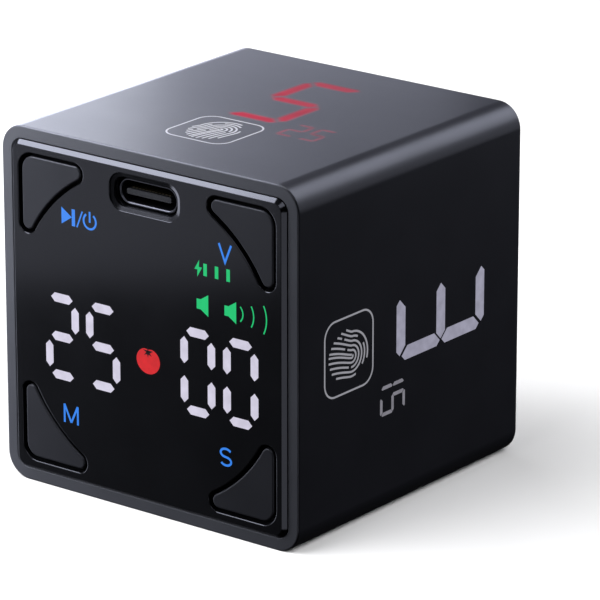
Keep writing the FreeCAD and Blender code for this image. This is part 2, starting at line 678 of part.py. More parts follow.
def side_windows():
    """Light wells of the large digit's segments and of the small number."""
    windows = []
    thick = SEGMENT_THICK * SIDE_SCALE / 2
    for x, z, upright in segment_places():
        along = SEGMENT_LENGTH * SIDE_SCALE / 2 - thick / 2
        half_y, half_z = (along, thick) if upright else (thick, along)
        windows.append(side_well(SIDE_DIGIT_Y + z * SIDE_SCALE, CZ - x * SIDE_SCALE, half_y, half_z))
    y, z, wide, high = SMALL_NUMBER
    windows.append(side_well(y, CZ + z, wide / 2, high / 2))
    return windows


def side_reflector():
    return side_slab(SIDE_BOARD_OUT, REFLECTOR_OUT).cut(side_windows())


def touch_electrode():
    """A copper foil disc behind the fingerprint mark."""
    centre = point(ELECTRODE_OUT - ELECTRODE_THICK, TOUCH_Y, CZ)
    return Part.makeCylinder(ELECTRODE_RADIUS, ELECTRODE_THICK, centre, point(1, 0, 0))


def side_leds():
    chips = []
    for window in side_windows():
        y, z = window.BoundBox.Center.y, window.BoundBox.Center.z
        chips.append(box(SIDE_BOARD_OUT, SIDE_BOARD_OUT + LED_HIGH, y - LED_HALF, y + LED_HALF,
                         z - LED_HALF, z + LED_HALF))
    return group([side_of(chip, name) for name in SIDES for chip in chips])


def side_headers():
    """Board-to-board connectors from the front board to each side board."""
    out = SIDE_BOARD_OUT - SIDE_BOARD_THICK
    half = HEADER_WIDTH / 2
    header = box(CHASSIS_HALF + HEADER_GAP, out, BOARD_BACK, SIDE_FRONT + HEADER_REACH, CZ - half, CZ + half)
    return group([side_of(header, name) for name in SIDES])


# ---- write one file per piece ----

def all_pieces():
    pieces = {
        "outer_sleeve": outer_sleeve(), "front_panel": front_panel(), "back_cover": back_cover(),
        "cover_screws": cover_screws(), "panel_adhesive": panel_adhesive(), "key_frame": key_frame(),
        "display_film": display_film(), "display_reflector": display_reflector(),
        "segment_light_pipes": segment_light_pipes(), "tomato_light_pipe": tomato_light_pipe(),
        "icon_light_pipes": icon_light_pipes(), "display_leds": display_leds(), "front_board": front_board(),
        "usb_shell": usb_shell(), "usb_tongue": usb_tongue(), "usb_contacts": usb_contacts(),
        "inner_chassis": inner_chassis(), "battery_cell": battery_cell(), "battery_pad": battery_pad(),
        "battery_leads": battery_leads(), "board_ribbon": board_ribbon(), "main_board": main_board(),
        "main_board_screws": main_board_screws(),
        "speaker_leads": speaker_leads(),
        "speaker_frame": speaker_frame(), "speaker_cone": speaker_cone(), "speaker_magnet": speaker_magnet(),
        "speaker_gasket": speaker_gasket(), "side_leds": side_leds(), "side_headers": side_headers(),
    }
    for name, (x, z, half, high) in BOARD_CHIPS.items():
        pieces[name] = board_chip(x, z, half, high)
    for name, corner in KEY_NAMES.items():
        pieces[name] = key_cap(corner)
        pieces[name.replace("key", "switch_body")] = switch_body(corner)
        pieces[name.replace("key", "switch_plunger")] = switch_plunger(corner)
    for name in SIDES:
        pieces[name + "_board"] = side_of(side_board(), name)
        pieces[name + "_reflector"] = side_of(side_reflector(), name)
        pieces[name + "_touch_electrode"] = side_of(touch_electrode(), name)
    return pieces


os.makedirs("parts", exist_ok=True)
for piece_name, piece in all_pieces().items():
    piece.exportStep("parts/" + piece_name + ".step")
    print(piece_name, len(piece.Solids), piece.isValid(), round(piece.Volume, 2))
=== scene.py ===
"""Looks of the cube kitchen timer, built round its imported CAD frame.

Every graphic is drawn in millimetres on a flat sheet whose origin is the middle of a face of the cube,
then laid on that face as a closed film as thin as ink.
"""
import json
import math
import random

import bmesh
import bpy
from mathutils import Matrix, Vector


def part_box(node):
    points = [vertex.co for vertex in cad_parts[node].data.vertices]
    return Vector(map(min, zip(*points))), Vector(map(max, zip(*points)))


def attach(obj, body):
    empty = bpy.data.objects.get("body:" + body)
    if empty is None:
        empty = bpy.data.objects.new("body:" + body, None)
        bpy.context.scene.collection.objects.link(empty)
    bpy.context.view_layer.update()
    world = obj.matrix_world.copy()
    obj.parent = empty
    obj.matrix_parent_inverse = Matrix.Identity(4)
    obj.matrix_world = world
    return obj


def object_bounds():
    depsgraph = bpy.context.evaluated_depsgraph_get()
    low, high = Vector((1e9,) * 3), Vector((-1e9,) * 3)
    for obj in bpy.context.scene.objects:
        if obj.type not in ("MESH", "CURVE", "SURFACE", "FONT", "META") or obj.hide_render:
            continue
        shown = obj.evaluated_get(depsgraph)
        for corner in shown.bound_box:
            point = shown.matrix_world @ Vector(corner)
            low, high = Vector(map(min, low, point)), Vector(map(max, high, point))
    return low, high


MM = 0.001

# ---- camera ----
VIEW_AZIMUTH, VIEW_ELEVATION = 38.30, 18.456
VIEW_DISTANCE = 0.5625
LENS = 277.06
AIM_RIGHT, AIM_DOWN = 4.44 * MM, 1.23 * MM

# ---- studio lights: name, place from the cube's middle, size (metres), watts, colour, what it acts on ----
# Most places and ten of the cube's wattages started from a fit of test renders to the photograph's tones.
COOL, NEUTRAL, WHITE = (0.96, 1.0, 1.22), (0.95, 1.0, 1.08), (1.0, 1.0, 1.0)
ALL, TONE, GLOSS = (True, True), (True, False), (False, True)
CUBE_LIGHTS = (
    ("rear_sheet", (0.19, 0.45, 0.35), 0.40, 1.25, COOL, ALL),
    ("rear_strip", (0.093, 0.225, 0.174), 0.15, 0.06, COOL, GLOSS),
    ("left_sheet", (-0.385, 0.19, 0.135), 0.30, 1.0, COOL, ALL),
    ("left_strip", (-0.094, 0.046, 0.033), 0.06, 0.02, NEUTRAL, ALL),
    ("left_rear_strip", (-0.068, 0.085, 0.013), 0.06, 0.02, COOL, ALL),
    ("low_left_sheet", (-0.27, -0.10, -0.095), 0.16, 0.10, COOL, GLOSS),
    ("front_left_strip", (-0.099, -0.039, -0.028), 0.06, 0.016, COOL, ALL),
    ("front_high_sheet", (-0.116, -0.13, 0.098), 0.10, 0.12, COOL, GLOSS),
    ("left_high_sheet", (-0.116, 0.02, 0.162), 0.10, 0.05, COOL, GLOSS),
    ("right_front_sheet", (0.22, -0.17, -0.09), 0.12, 0.04, COOL, GLOSS),
    ("right_high_sheet", (0.16, -0.25, 0.26), 0.15, 0.14, COOL, GLOSS),
    ("front_strip", (-0.067, -0.087, 0.006), 0.06, 0.006, COOL, ALL),
    ("front_fill", (-0.068, -0.085, 0.018), 0.06, 0.20, NEUTRAL, TONE),
    ("front_top_strip", (-0.064, -0.034, 0.083), 0.06, 0.11, COOL, ALL),
    ("right_sheet", (0.243, 0.315, 0.042), 0.20, 0.08, COOL, ALL),
    ("overhead", (0.0, 0.0, 0.15), 0.08, 0.06, NEUTRAL, ALL),
)
TABLE_LIGHTS = (
    ("table_key", (-0.315, -0.42, 0.462), 0.80, 10.5, WHITE, ALL),
    ("table_left", (-0.507, -0.12, 0.30), 0.30, 1.7, WHITE, ALL),
    ("table_right", (0.347, -0.10, 0.347), 0.30, 2.1, WHITE, ALL),
    ("table_low", (-0.17, 0.085, 0.06), 0.12, 0.1, WHITE, ALL),
)
AIR = 0.01

# ---- films ----
INK_PROUD, INK_SUNK = 0.014, 0.03
LEAF_PROUD = INK_PROUD * 1.4   # the leaves lie over the tomato's flesh
GLOW_PROUD = 0.0012
GLOW_STEP = 0.16
GLOW_EDGE, GLOW_SPAN = 0.65, 1.7   # where the glow starts outside a bar, and the depth it rises over
GLOW_FADE = 0.012              # loss of glow per millimetre towards the far right corner

# ---- touch marks: middle of the mark on its wall, and the seed of the breaks in its ridges ----
MARK_PLACE, TOP_MARK_PLACE = (0.0, -12.4), (0.05, -9.3)
MARK_SEED = 7
RIDGE_STEP, RIDGE_COUNT = 0.12, 48
RIDGE_FLARE = 0.05             # how much wider a ridge gets per millimetre down
RIDGE_LEAN, RIDGE_CURVE, RIDGE_DECAY = 0.34, 1.4, 0.2

# ---- sockets of a Mix node, by data type: first, second, result ----
MIX_SOCKETS = {"RGBA": (6, 7, 2), "FLOAT": (2, 3, 0)}
GLOW_BASE, GLOW_ROUGHNESS = 0.6, 0.95

# ---- shading: edges bent by more than this many degrees stay sharp ----
EDGE_ANGLE = 35.0

# ---- seven-segment characters: a is the top bar, then clockwise, g is the middle bar ----
LIT = {"0": "abcdef", "1": "bc", "2": "abdeg", "3": "abcdg", "4": "bcfg", "5": "acdfg", "6": "acdefg",
       "9": "abcdfg"}

# ---- the presets: number on the side, and the one the count switches to ----
PRESETS = {"right": ("3", "15"), "top": ("5", "25"), "left": ("6", "30"), "bottom": ("9", "45")}
WALL_NORMAL = {"right": (1, 0, 0), "top": (0, 0, 1), "left": (-1, 0, 0), "bottom": (0, 0, -1)}


# ---------------------------------------------------------------- flat shapes

def polar(radius, degrees, centre=(0.0, 0.0)):
    turn = math.radians(degrees)
    return (centre[0] + radius * math.cos(turn), centre[1] + radius * math.sin(turn))


def arc(radius, start, stop, centre=(0.0, 0.0), step=6.0):
    count = max(2, int(abs(stop - start) / step) + 1)
    return [polar(radius, start + (stop - start) * i / (count - 1), centre) for i in range(count)]


def moved(points, across, up):
    return [(x + across, y + up) for x, y in points]


def rounded_square(half, radius):
    points = []
    for corner_x, corner_y, start in ((1, 1, 0), (-1, 1, 90), (-1, -1, 180), (1, -1, 270)):
        centre = (corner_x * (half - radius), corner_y * (half - radius))
        points += arc(radius, start, start + 90, centre, 9.0)
    return points


class Sheet:
    """Closed flat shapes that share one film: plates are outlines, strips are lines with a width."""

    def __init__(self):
        self.plates = []
        self.strips = []

    def plate(self, outline):
        self.plates.append(outline)

    def strip(self, line, width, closed=False):
        sides = ([], [])
        count = len(line)
        for i, here in enumerate(line):
            before = line[i - 1] if closed or i > 0 else None
            after = line[(i + 1) % count] if closed or i < count - 1 else None
            first = Vector(here) - Vector(before) if before else Vector(after) - Vector(here)
            second = Vector(after) - Vector(here) if after else first
            first.normalize()
            second.normalize()
            tangent = (first + second).normalized()
            normal = Vector((-tangent.y, tangent.x))
            reach = width / 2 / max(0.35, normal.dot(Vector((-first.y, first.x))))
            sides[0].append(tuple(Vector(here) + normal * reach))
            sides[1].append(tuple(Vector(here) - normal * reach))
        self.strips.append((sides[0], sides[1], closed))


def as_piece(name, mesh):
    """Makes an object of a bmesh and puts it in the scene."""
    data = bpy.data.meshes.new(name)
    mesh.to_mesh(data)
    mesh.free()
    piece = bpy.data.objects.new(name, data)
    bpy.context.scene.collection.objects.link(piece)
    return piece


def film(name, sheet, origin, right, up, proud=INK_PROUD, sunk=INK_SUNK):
    """Turns a sheet into closed thin solids on the plane through origin, facing right x up."""
    origin, right, up = Vector(origin), Vector(right), Vector(up)
    normal = right.cross(up)
    mesh = bmesh.new()

    def corner(place, height):
        return mesh.verts.new(origin + (right * place[0] + up * place[1] + normal * height) * MM)

    for outline in sheet.plates:
        area = sum(a[0] * b[1] - b[0] * a[1] for a, b in zip(outline, outline[1:] + outline[:1]))
        outline = outline if area > 0 else outline[::-1]
        top = [corner(place, proud) for place in outline]
        bottom = [corner(place, -sunk) for place in outline]
        mesh.faces.new(top)
        mesh.faces.new(bottom[::-1])
        for i in range(len(top)):
            j = (i + 1) % len(top)
            mesh.faces.new((top[j], top[i], bottom[i], bottom[j]))
    for left, other, closed in sheet.strips:
        rows = [[corner(a, proud), corner(b, proud), corner(b, -sunk), corner(a, -sunk)]
                for a, b in zip(left, other)]
        pairs = list(zip(rows, rows[1:])) + ([(rows[-1], rows[0])] if closed else [])
        for a, b in pairs:
            for k in range(4):
                mesh.faces.new((a[k], a[(k + 1) % 4], b[(k + 1) % 4], b[k]))
        if not closed:
            mesh.faces.new(rows[0][::-1])
            mesh.faces.new(rows[-1])
    bmesh.ops.recalc_face_normals(mesh, faces=mesh.faces)
    bmesh.ops.triangulate(mesh, faces=[face for face in mesh.faces if len(face.verts) > 4])
    return as_piece(name, mesh)


# ---------------------------------------------------------------- characters

def segment(length, thick, lean=0.0):
    """A bar with pointed ends, along x. lean moves both points up, towards the outside of the character."""
    half, edge = length / 2, thick / 2
    return [(-half, lean), (edge + lean - half, -edge), (half - edge - lean, -edge),
            (half, lean), (half - edge + lean, edge), (edge - lean - half, edge)]


def turned(points, quarter):
    for _ in range(quarter % 4):
        points = [(-y, x) for x, y in points]
    return points


def segments(half_wide, half_high, across, upright, thick, lean=0.0):
    """The seven bars of one character, by letter."""
    outer = segment(across, thick, lean)
    side = segment(upright, thick, lean)
    rightward, leftward = turned(side, 3), turned(side, 1)
    quarter = half_high / 2
    return {
        "a": moved(outer, 0, half_high),
        "g": segment(across, thick),
        "d": moved(turned(outer, 2), 0, -half_high),
        "b": moved(rightward, half_wide, quarter),
        "c": moved(rightward, half_wide, -quarter),
        "e": moved(leftward, -half_wide, -quarter),
        "f": moved(leftward, -half_wide, quarter),
    }


def front_character():
    return segments(2.05, 4.88, 3.36, 3.36, 1.14)


def large_character():
    return segments(3.4, 8.0, 7.02, 7.62, 1.74, 0.25)


def small_character():
    return segments(1.0, 2.22, 2.1, 2.15, 0.46, 0.08)


def write_number(sheet, text, shapes, places):
    for sign, (across, up) in zip(text, places):
        for letter in LIT[sign]:
            sheet.plate(moved(shapes[letter], across, up))


def letter_m(wide, high, width):
    """The letter's strokes, from its lower left corner; the same holds for the two below."""
    inset = width / 2
    line = [(inset, 0), (inset, high), (wide / 2, inset), (wide - inset, high), (wide - inset, 0)]
    return list(zip(line, line[1:]))


def letter_v(wide, high, width):
    inset = width / 2
    return [[(inset, high), (wide / 2, inset), (wide - inset, high)]]


def letter_s(wide, high, width):
    """Two open bowls, joined by the slant between them."""
    inset = width / 2
    bowl_x, bowl_y = wide / 2 - inset, (high - width) / 4
    line = []
    for middle, start, stop in ((high - inset - bowl_y, 28, 245), (inset + bowl_y, 65, -152)):
        line += [(wide / 2 + bowl_x * x, middle + bowl_y * y) for x, y in arc(1.0, start, stop, step=9.0)]
    return [line]


def letter(sheet, strokes, across, up, width):
    for line in strokes:
        sheet.strip(moved(line, across, up), width)


# ---------------------------------------------------------------- face graphics

def front_place():
    low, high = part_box("front_panel")
    return Vector(((low.x + high.x) / 2, low.y, (low.z + high.z) / 2))


def front_film(name, sheet, material):
    return dress(film(name, sheet, front_place(), (1, 0, 0), (0, 0, 1)), material)


def dress(piece, material, body="case"):
    piece.data.materials.append(material)
    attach(piece, body)
    return piece


def front_digits():
    sheet = Sheet()
    places = [(-12.98, -2.68), (-6.61, -2.68), (7.92, -2.68), (14.35, -2.68)]
    write_number(sheet, "2500", front_character(), places)
    return sheet


def tomato_flesh():
    """A tomato a little wider than tall, with a dimple where the stalk sits."""
    outline = []
    for i in range(72):
        angle = 5.0 * i
        dimple = 0.10 * math.exp(-((angle - 90.0) / 16.0) ** 2)
        x, y = polar(1.0, angle)
        outline.append((1.79 * x * (1 + 0.03 * y), 1.62 * y * (1 - dimple)))
    sheet = Sheet()
    sheet.plate(moved(outline, 0.37, -2.86))
    return sheet


def tomato_leaves():
    """The calyx: five pointed leaves and a stub of stalk."""
    sheet = Sheet()
    outline = []
    for angle, reach in ((162, 0.86), (216, 0.74), (270, 0.66), (324, 0.74), (18, 0.86)):
        outline.append(polar(0.27, angle - 36))
        outline.append(polar(reach, angle))
    sheet.plate(moved(outline, 0.35, -1.78))
    sheet.plate(moved([(-0.09, 0), (0.09, 0), (0.05, 0.55), (-0.10, 0.55)], 0.35, -1.78))
    return sheet


def key_legends():
    """Play, pause and power beside the upper left key, and a letter beside each of the others."""
    sheet = Sheet()
    low, tall = 11.67, 2.1
    sheet.plate([(-12.8, low), (-11.2, low + tall / 2), (-12.8, low + tall)])
    sheet.plate([(-11.2, low), (-10.7, low), (-10.7, low + tall), (-11.2, low + tall)])
    sheet.strip([(-10.42, low), (-9.54, low + tall)], 0.2)
    centre = (-8.41, 12.75)
    sheet.strip(arc(0.95, 125, 415, centre), 0.27)
    sheet.strip([(centre[0], 12.6), (centre[0], 13.95)], 0.27)
    high, width = 2.34, 0.28
    letter(sheet, letter_v(2.1, high, width), 11.05, 11.63, width)
    letter(sheet, letter_m(2.36, high, width), -12.98, -13.47, width)
    letter(sheet, letter_s(1.84, high, width), 11.16, -13.47, width)
    return sheet


def speaker_symbol(sheet, across, up):
    half = [(0, 0.62), (0.6, 0.62), (1.74, 1.34)]
    sheet.plate(moved([(x, -y) for x, y in half] + half[::-1], across, up))


def status_symbols():
    """Charging bolt, battery bars, and the quiet and loud speakers."""
    sheet = Sheet()
    bolt = [(0.72, 2.1), (0.0, 0.88), (0.45, 0.88), (0.42, 0.0), (1.14, 1.22), (0.66, 1.22)]
    sheet.plate(moved(bolt, 7.52, 9.22))
    for across in (9.12, 10.83, 12.55):
        sheet.plate(moved([(-0.26, 0), (0.26, 0), (0.26, 1.5), (-0.26, 1.5)], across, 9.5))
    speaker_symbol(sheet, 7.82, 5.9)
    speaker_symbol(sheet, 11.98, 5.9)
    for across, half_high, bulge in ((14.32, 0.9, 0.4), (15.95, 1.28, 0.36), (17.78, 1.72, 0.42)):
        radius = (half_high ** 2 + bulge ** 2) / (2 * bulge)
        swing = math.degrees(math.asin(half_high / radius))
        sheet.strip(arc(radius, -swing, swing, (across + bulge - radius, 5.9), 4.0), 0.17)
    return sheet


def ridge_line(radius, core):
    """One ridge: up the left side, over the core in a half circle and down the right side."""
    line = [(-radius, -i * RIDGE_STEP) for i in range(RIDGE_COUNT, 0, -1)]
    line += [polar(radius, 180 - 9 * i) for i in range(21)]
    line += [(radius, -i * RIDGE_STEP) for i in range(1, RIDGE_COUNT + 1)]
    bent = []
    for x, y in line:
        fall = max(0.0, -y)
        lean = RIDGE_LEAN * fall ** RIDGE_CURVE * math.exp(-RIDGE_DECAY * fall)
        bent.append((x * (1 + RIDGE_FLARE * fall) + core[0] - lean, y + core[1]))
    return bent


def touch_mark(sheet, across, up, seed):
    """A rounded frame round a finger print of the looped kind, cut by a circle and broken here and there."""
    frame_half, frame_radius, frame_line = 4.66, 1.95, 0.23
    sheet.strip(moved(rounded_square(frame_half, frame_radius), across, up), frame_line, True)
    chance = random.Random(seed)
    core = (0.45, 0.55)
    half_wide, half_high, pitch, line_width = 3.15, 3.95, 0.57, 0.25
    for ring in range(9):
        line = ridge_line(0.2 + pitch * ring, core)
        gaps = [chance.uniform(0.25, 0.8) for _ in range(1 + ring // 4)]
        run = []
        for i, place in enumerate(line):
            inside = math.hypot(place[0] / half_wide, place[1] / half_high) < 1
            part = i / len(line)
            broken = any(abs(part - gap) < 0.014 for gap in gaps)
            if inside and not broken:
                run.append(place)
            if (not inside or broken or i == len(line) - 1) and run:
                if len(run) > 3:
                    sheet.strip(moved(run, across, up), line_width)
                run = []


def wall_axes(name):
    """Middle of a side wall, and the directions right and up of what is written on it."""
    low, high = cad_box
    normal = Vector(WALL_NORMAL[name])
    middle = (Vector(low) + Vector(high)) / 2
    half = (high[0] - low[0]) / 2
    up = Vector((0, 1, 0))
    return middle + normal * half, up.cross(normal), up


def wall_film(name, wall, sheet, material):
    origin, right, up = wall_axes(wall)
    return dress(film(name, sheet, origin, right, up), material)


def large_number(wall):
    sheet = Sheet()
    write_number(sheet, PRESETS[wall][0], large_character(), [(-0.48, 5.78)])
    return sheet


def small_number(wall):
    sheet = Sheet()
    write_number(sheet, PRESETS[wall][1], small_character(), [(5.2, -3.8), (8.5, -3.8)])
    return sheet


def bar_distance(place, outline):
    """How far a place is outside a convex outline; less than nought inside it."""
    reach = -1e9
    for a, b in zip(outline, outline[1:] + outline[:1]):
        edge = Vector(b) - Vector(a)
        away = Vector((edge.y, -edge.x)).normalized()
        reach = max(reach, away.dot(Vector(place) - Vector(a)))
    return reach


def glow_patch(name, text, shapes, places, soft, peak, origin, right, up):
    """A film over a number that shines through the wall: a fine grid that holds how much each point glows."""
    outlines = []
    for sign, (across, up_by) in zip(text, places):
        outlines += [moved(shapes[letter_name], across, up_by) for letter_name in LIT[sign]]
    corners = [place for outline in outlines for place in outline]
    spare = soft + GLOW_STEP
    low = [min(place[k] for place in corners) - spare for k in (0, 1)]
    high = [max(place[k] for place in corners) + spare for k in (0, 1)]
    counts = [int((high[k] - low[k]) / GLOW_STEP) + 1 for k in (0, 1)]
    origin, right, up = Vector(origin), Vector(right), Vector(up)
    normal = right.cross(up)
    mesh = bmesh.new()
    glow = mesh.verts.layers.float.new("glow")
    layers = []
    for height in (GLOW_PROUD, -INK_SUNK):
        rows = []
        for j in range(counts[1] + 1):
            row = []
            for i in range(counts[0] + 1):
                place = (low[0] + i * GLOW_STEP, low[1] + j * GLOW_STEP)
                offset = right * place[0] + up * place[1] + normal * height
                vertex = mesh.verts.new(origin + offset * MM)
                depth = -min(bar_distance(place, outline) for outline in outlines)
                level = min(1.0, max(0.0, (depth + GLOW_EDGE * soft) / (GLOW_SPAN * soft)))
                fade = 1 - GLOW_FADE * (place[0] + place[1])
                vertex[glow] = peak * fade * level * level * (3 - 2 * level)
                row.append(vertex)
            rows.append(row)
        layers.append(rows)
    top, bottom = layers
    for j in range(counts[1]):
        for i in range(counts[0]):
            mesh.faces.new((top[j][i], top[j][i + 1], top[j + 1][i + 1], top[j + 1][i]))
            mesh.faces.new((bottom[j][i], bottom[j + 1][i], bottom[j + 1][i + 1], bottom[j][i + 1]))
    rims = []
    for rows in layers:
        right_side = [row[-1] for row in rows[:-1]]
        left_side = [row[0] for row in rows[:0:-1]]
        rims.append(rows[0][:-1] + right_side + rows[-1][:0:-1] + left_side)
    for i in range(len(rims[0])):
        j = (i + 1) % len(rims[0])
        mesh.faces.new((rims[0][j], rims[0][i], rims[1][i], rims[1][j]))
    return as_piece(name, mesh)


# ---------------------------------------------------------------- materials

def new_material(name):
    material = bpy.data.materials.new(name)
    material.use_nodes = True
    return material, material.node_tree.nodes, material.node_tree.links


def noise(nodes, links, scale, detail, rough=0.5):
    """A noise texture in the piece's own coordinates; scale is in cycles per millimetre."""
    place = nodes.new("ShaderNodeTexCoord")
    texture = nodes.new("ShaderNodeTexNoise")
    texture.inputs["Scale"].default_value = scale / MM
    texture.inputs["Detail"].default_value = detail
    texture.inputs["Roughness"].default_value = rough
    links.new(place.outputs["Object"], texture.inputs["Vector"])
    return texture.outputs["Fac"]


def spread(nodes, links, value, low, high):
    remap = nodes.new("ShaderNodeMapRange")
    remap.inputs["From Min"].default_value = 0.3
    remap.inputs["From Max"].default_value = 0.7
    remap.inputs["To Min"].default_value = low
    remap.inputs["To Max"].default_value = high
    links.new(value, remap.inputs["Value"])
    return remap.outputs["Result"]


def blend_colours(nodes, links, value, dark, light):
    ramp = nodes.new("ShaderNodeValToRGB")
    ramp.color_ramp.elements[0].position = 0.3
    ramp.color_ramp.elements[0].color = (*dark, 1)
    ramp.color_ramp.elements[1].position = 0.7
    ramp.color_ramp.elements[1].color = (*light, 1)
    links.new(value, ramp.inputs["Fac"])
    return ramp.outputs["Color"]


def bump(nodes, links, value, strength, height):
    node = nodes.new("ShaderNodeBump")
    node.inputs["Strength"].default_value = strength
    node.inputs["Distance"].default_value = height * MM
    links.new(value, node.inputs["Height"])
    return node.outputs["Normal"]


def moulded(name, colour, roughness, grain=8.0, depth=0.004, vary=0.12,
            metallic=0.0, specular=0.5, coat=0.0):
    """Moulded or painted stuff: a fine grain in the surface, and slow changes of tone and gloss."""
    material, nodes, links = new_material(name)
    shader = nodes["Principled BSDF"]
    shader.inputs["Metallic"].default_value = metallic
    shader.inputs["Specular IOR Level"].default_value = specular
    shader.inputs["Coat Weight"].default_value = coat
    shader.inputs["Coat Roughness"].default_value = 0.08
    slow = noise(nodes, links, 0.12, 3.0)
    dark = tuple(c * (1 - vary) for c in colour)
    light = tuple(min(1.0, c * (1 + vary)) for c in colour)
    links.new(blend_colours(nodes, links, slow, dark, light), shader.inputs["Base Color"])
    fine = noise(nodes, links, grain, 2.0)
    mixed = nodes.new("ShaderNodeMath")
    mixed.operation = "ADD"
    links.new(slow, mixed.inputs[0])
    links.new(fine, mixed.inputs[1])
    half = nodes.new("ShaderNodeMath")
    half.operation = "MULTIPLY"
    half.inputs[1].default_value = 0.5
    links.new(mixed.outputs[0], half.inputs[0])
    gloss = spread(nodes, links, half.outputs[0], roughness * 0.88, roughness * 1.12)
    links.new(gloss, shader.inputs["Roughness"])
    links.new(bump(nodes, links, fine, 0.5, depth), shader.inputs["Normal"])
    return material


def lit_and_painted_glow_ink(name, colour, strength, vary=0.05):
    """Emitted colour under the shader's own gloss, even but for a faint cloudiness: light from below the
    surface for the lit display parts, a painted glow for printed marks that no lamp lights.
    """
    material, nodes, links = new_material(name)
    shader = nodes["Principled BSDF"]
    shader.inputs["Base Color"].default_value = (*[c * 0.04 for c in colour], 1)
    shader.inputs["Roughness"].default_value = 0.35
    cloud = noise(nodes, links, 0.9, 3.0)
    dark = tuple(c * (1 - vary) for c in colour)
    light = tuple(min(1.0, c * (1 + vary)) for c in colour)
    links.new(blend_colours(nodes, links, cloud, dark, light), shader.inputs["Emission Color"])
    shader.inputs["Emission Strength"].default_value = strength
    return material


def shine_through(name, base, colour, strength):
    """The wall's own finish, turning to lit red where the patch glows."""
    material = base.copy()
    material.name = name
    nodes, links = material.node_tree.nodes, material.node_tree.links
    shader = nodes["Principled BSDF"]
    glow = nodes.new("ShaderNodeAttribute")
    glow.attribute_name = "glow"
    links.new(glow.outputs["Fac"], shader.inputs["Metallic"])
    dim = (*[c * GLOW_BASE for c in colour], 1)
    for socket, kind, value in (("Base Color", "RGBA", dim), ("Roughness", "FLOAT", GLOW_ROUGHNESS)):
        mix = nodes.new("ShaderNodeMix")
        mix.data_type = kind
        first, second, result = MIX_SOCKETS[kind]
        links.new(glow.outputs["Fac"], mix.inputs[0])
        links.new(shader.inputs[socket].links[0].from_socket, mix.inputs[first])
        mix.inputs[second].default_value = value
        links.new(mix.outputs[result], shader.inputs[socket])
    cloud = noise(nodes, links, 0.35, 2.0)
    level = nodes.new("ShaderNodeMath")
    level.operation = "MULTIPLY"
    links.new(glow.outputs["Fac"], level.inputs[0])
    links.new(spread(nodes, links, cloud, 0.7, 1.1), level.inputs[1])
    ramp = nodes.new("ShaderNodeValToRGB")
    ramp.color_ramp.elements[0].color = (0, 0, 0, 1)
    ramp.color_ramp.elements[1].color = (*colour, 1)
    links.new(level.outputs[0], ramp.inputs["Fac"])
    links.new(ramp.outputs["Color"], shader.inputs["Emission Color"])
    shader.inputs["Emission Strength"].default_value = strength
    return material


def slot_materials():
    """One material for each slot of the record."""
    return {
        "sleeve_satin": moulded("sleeve_satin", (0.035, 0.035, 0.039), 0.36, grain=9.0, depth=0.003,
                                vary=0.06),
        "panel_gloss": moulded("panel_gloss", (0.004, 0.004, 0.0045), 0.16, grain=1.5, depth=0.0004,
                               vary=0.1),
        "cover_satin": moulded("cover_satin", (0.022, 0.022, 0.025), 0.42, grain=7.0, depth=0.005),
        "key_satin": moulded("key_satin", (0.006, 0.006, 0.007), 0.42, grain=9.0, depth=0.003),
        "frame_black": moulded("frame_black", (0.008, 0.008, 0.008), 0.6),
        "reflector_white": moulded("reflector_white", (0.75, 0.75, 0.73), 0.5),
        "light_pipe": moulded("light_pipe", (0.72, 0.70, 0.78), 0.35),
        "tomato_pipe": moulded("tomato_pipe", (0.6, 0.03, 0.03), 0.35),
        "icon_pipe": moulded("icon_pipe", (0.03, 0.45, 0.14), 0.35),
        "diffuser_film": moulded("diffuser_film", (0.6, 0.6, 0.62), 0.5),
        "adhesive": moulded("adhesive", (0.01, 0.01, 0.01), 0.7),
        "board_green": moulded("board_green", (0.01, 0.10, 0.04), 0.35, coat=0.4),
        "chip_black": moulded("chip_black", (0.015, 0.015, 0.015), 0.5),
        "led_white": moulded("led_white", (0.8, 0.76, 0.5), 0.3),
        "socket_steel": moulded("socket_steel", (0.10, 0.10, 0.105), 0.4, metallic=1.0),
        "contact_gold": moulded("contact_gold", (0.12, 0.095, 0.05), 0.5, metallic=1.0),
        "screw_steel": moulded("screw_steel", (0.10, 0.10, 0.105), 0.32, metallic=1.0),
        "chassis_grey": moulded("chassis_grey", (0.05, 0.05, 0.052), 0.55),
        "battery_foil": moulded("battery_foil", (0.6, 0.6, 0.62), 0.3, metallic=1.0),
        "foam_black": moulded("foam_black", (0.012, 0.012, 0.012), 0.9, grain=3.0, depth=0.03),
        "lead_red": moulded("lead_red", (0.4, 0.02, 0.02), 0.45),
        "ribbon_white": moulded("ribbon_white", (0.7, 0.7, 0.68), 0.45),
        "speaker_black": moulded("speaker_black", (0.015, 0.015, 0.015), 0.5),
        "cone_paper": moulded("cone_paper", (0.03, 0.03, 0.03), 0.85, grain=4.0, depth=0.02),
        "magnet_steel": moulded("magnet_steel", (0.12, 0.12, 0.125), 0.5, metallic=0.6),
        "copper_foil": moulded("copper_foil", (0.7, 0.32, 0.18), 0.3, metallic=1.0),
    }


def crisp(mesh):
    """Shades a mesh smooth over gentle bends and sharp over edges; each face counts by its area."""
    places = [tuple(round(x / MM, 4) for x in vertex.co) for vertex in mesh.vertices]
    around = {}
    for face in mesh.polygons:
        for vertex in face.vertices:
            around.setdefault(places[vertex], []).append((face.normal.copy(), face.area))
    limit = math.cos(math.radians(EDGE_ANGLE))
    normals = []
    for face in mesh.polygons:
        for vertex in face.vertices:
            total = Vector((0, 0, 0))
            for normal, area in around[places[vertex]]:
                if normal.dot(face.normal) > limit:
                    total += normal * area
            normals.append(total.normalized())
    mesh.polygons.foreach_set("use_smooth", [True] * len(mesh.polygons))
    mesh.normals_split_custom_set(normals)


